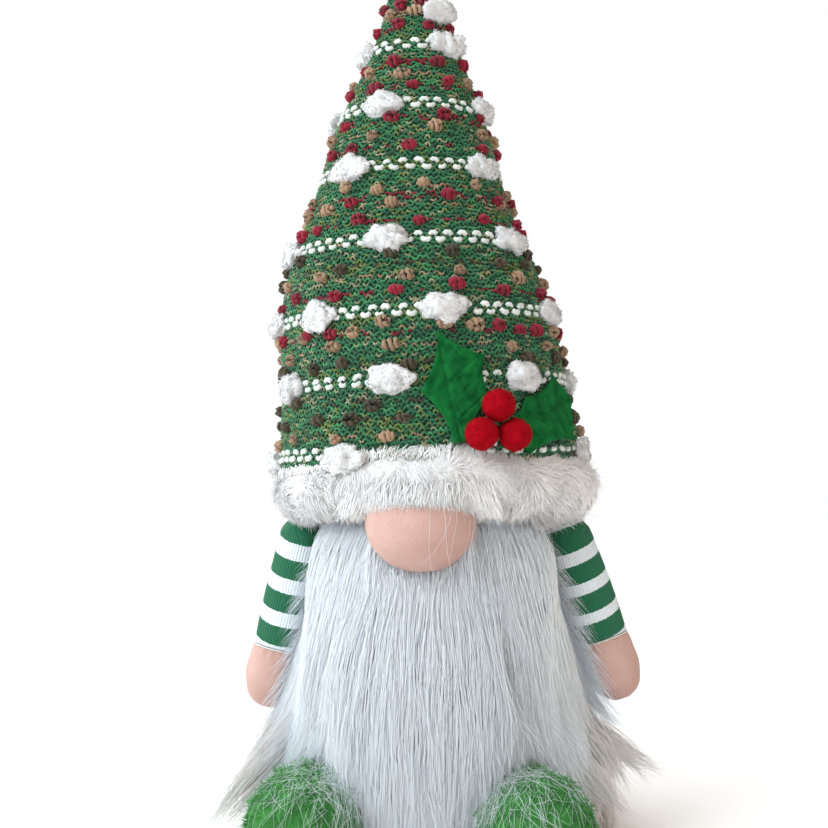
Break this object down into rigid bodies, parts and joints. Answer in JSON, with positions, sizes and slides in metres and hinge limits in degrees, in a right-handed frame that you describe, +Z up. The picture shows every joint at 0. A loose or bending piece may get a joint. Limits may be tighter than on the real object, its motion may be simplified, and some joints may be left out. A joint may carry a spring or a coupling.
{
  "type": "tomte gnome figurine",
  "caption": "Stuffed nordic gnome standing on a flat base, with a tall knitted cone hat and plush roll brim, holly sprig, ball nose, long fur beard, hanging jointed arms and round fleece shoes.",
  "frame": {"origin": "centre of the body's flat base, on the surface it stands on", "axes": "+Z up towards the hat's tip, -Y the way the gnome faces, +X to the right as seen from the front; left and right in names are as seen from the front"},
  "size_m": [0.1937, 0.1802, 0.448],
  "materials": {
    "body_fur": "long soft pile",
    "beard_fur": "long silky pile",
    "brim_plush": "short curled plush",
    "base_felt": "matte felt",
    "base_card": "matte",
    "pellet_bag_cloth": "matte",
    "fibre_stuffing": "matte",
    "white_thread": "matte",
    "hat_knit": "slub yarn knit",
    "hat_stiffener": "stiff non-woven",
    "skin_jersey": "fine smooth jersey",
    "striped_knit": "striped fine rib knit",
    "shoe_fleece": "fluffy fleece",
    "sole_felt": "matte felt",
    "leaf_felt": "embossed felt",
    "berry_felt": "felted ball",
    "tab_cloth": "woven tape"
  },
  "bodies": {
    "torso": {"body_fur_cover": "body_fur", "base_panel": "base_felt", "base_board": "base_card", "pellet_bag": "pellet_bag_cloth", "body_stuffing": "fibre_stuffing", "crown_gather_thread": "white_thread", "brim_fur_cover": "brim_plush", "brim_wadding": "fibre_stuffing", "brim_stitch_thread": "white_thread", "hat_knit_cover": "hat_knit", "hat_stiffener": "hat_stiffener", "hat_stuffing": "fibre_stuffing", "nose_cover": "skin_jersey", "nose_stuffing": "fibre_stuffing", "nose_gather_thread": "white_thread", "beard_fur_panel": "beard_fur", "beard_stitch_thread": "white_thread", "holly_leaf_left": "leaf_felt", "holly_leaf_right": "leaf_felt", "holly_berry_top": "berry_felt", "holly_berry_left": "berry_felt", "holly_berry_right": "berry_felt", "shoe_upper_left": "shoe_fleece", "shoe_sole_left": "sole_felt", "shoe_stuffing_left": "fibre_stuffing", "shoe_upper_right": "shoe_fleece", "shoe_sole_right": "sole_felt", "shoe_stuffing_right": "fibre_stuffing"},
    "left_shoulder": {"shoulder_tab_left": "tab_cloth"},
    "left_arm": {"sleeve_left": "striped_knit", "hand_left": "skin_jersey", "arm_stuffing_left": "fibre_stuffing", "wrist_stitch_left": "white_thread"},
    "right_shoulder": {"shoulder_tab_right": "tab_cloth"},
    "right_arm": {"sleeve_right": "striped_knit", "hand_right": "skin_jersey", "arm_stuffing_right": "fibre_stuffing", "wrist_stitch_right": "white_thread"}
  },
  "joints": [
    {"name": "left_arm_swing", "type": "hinge", "parent": "torso", "child": "left_shoulder", "pos_m": [-0.066, -0.006, 0.1344], "axis": [-1, 0, 0], "range_deg": [-35, 80]},
    {"name": "left_arm_lift", "type": "hinge", "parent": "left_shoulder", "child": "left_arm", "pos_m": [-0.066, -0.006, 0.1344], "axis": [0, 1, 0], "range_deg": [0, 60]},
    {"name": "right_arm_swing", "type": "hinge", "parent": "torso", "child": "right_shoulder", "pos_m": [0.066, -0.006, 0.1344], "axis": [-1, 0, 0], "range_deg": [-35, 80]},
    {"name": "right_arm_lift", "type": "hinge", "parent": "right_shoulder", "child": "right_arm", "pos_m": [0.066, -0.006, 0.1344], "axis": [0, -1, 0], "range_deg": [0, 60]}
  ]
}
